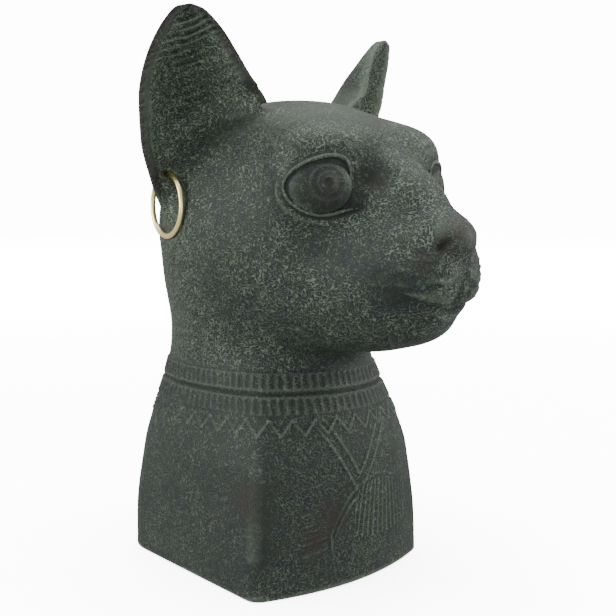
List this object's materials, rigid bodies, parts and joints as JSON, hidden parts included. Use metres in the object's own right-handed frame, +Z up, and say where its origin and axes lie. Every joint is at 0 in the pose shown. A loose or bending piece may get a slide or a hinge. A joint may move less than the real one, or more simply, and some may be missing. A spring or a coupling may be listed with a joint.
{
  "type": "egyptian cat bust",
  "caption": "Standing bust of an ancient Egyptian cat: squared base, banded collar, long muzzle, tall cupped ears and a thin gold ring hung from each ear.",
  "frame": {"origin": "middle of the flat underside of the base, halfway between its flanks", "axes": "+Z up from the underside to the ear tips, the cat faces -Y, and its left side is +X"},
  "size_m": [0.11, 0.1351, 0.19],
  "materials": {
    "patina": "dark green bronze-coloured coating with pale wear specks on cast resin, satin",
    "gold": "pale gold wire, polished"
  },
  "bodies": {
    "root": {"cat_bust": "patina", "earring_right": "gold", "earring_left": "gold"}
  },
  "joints": []
}
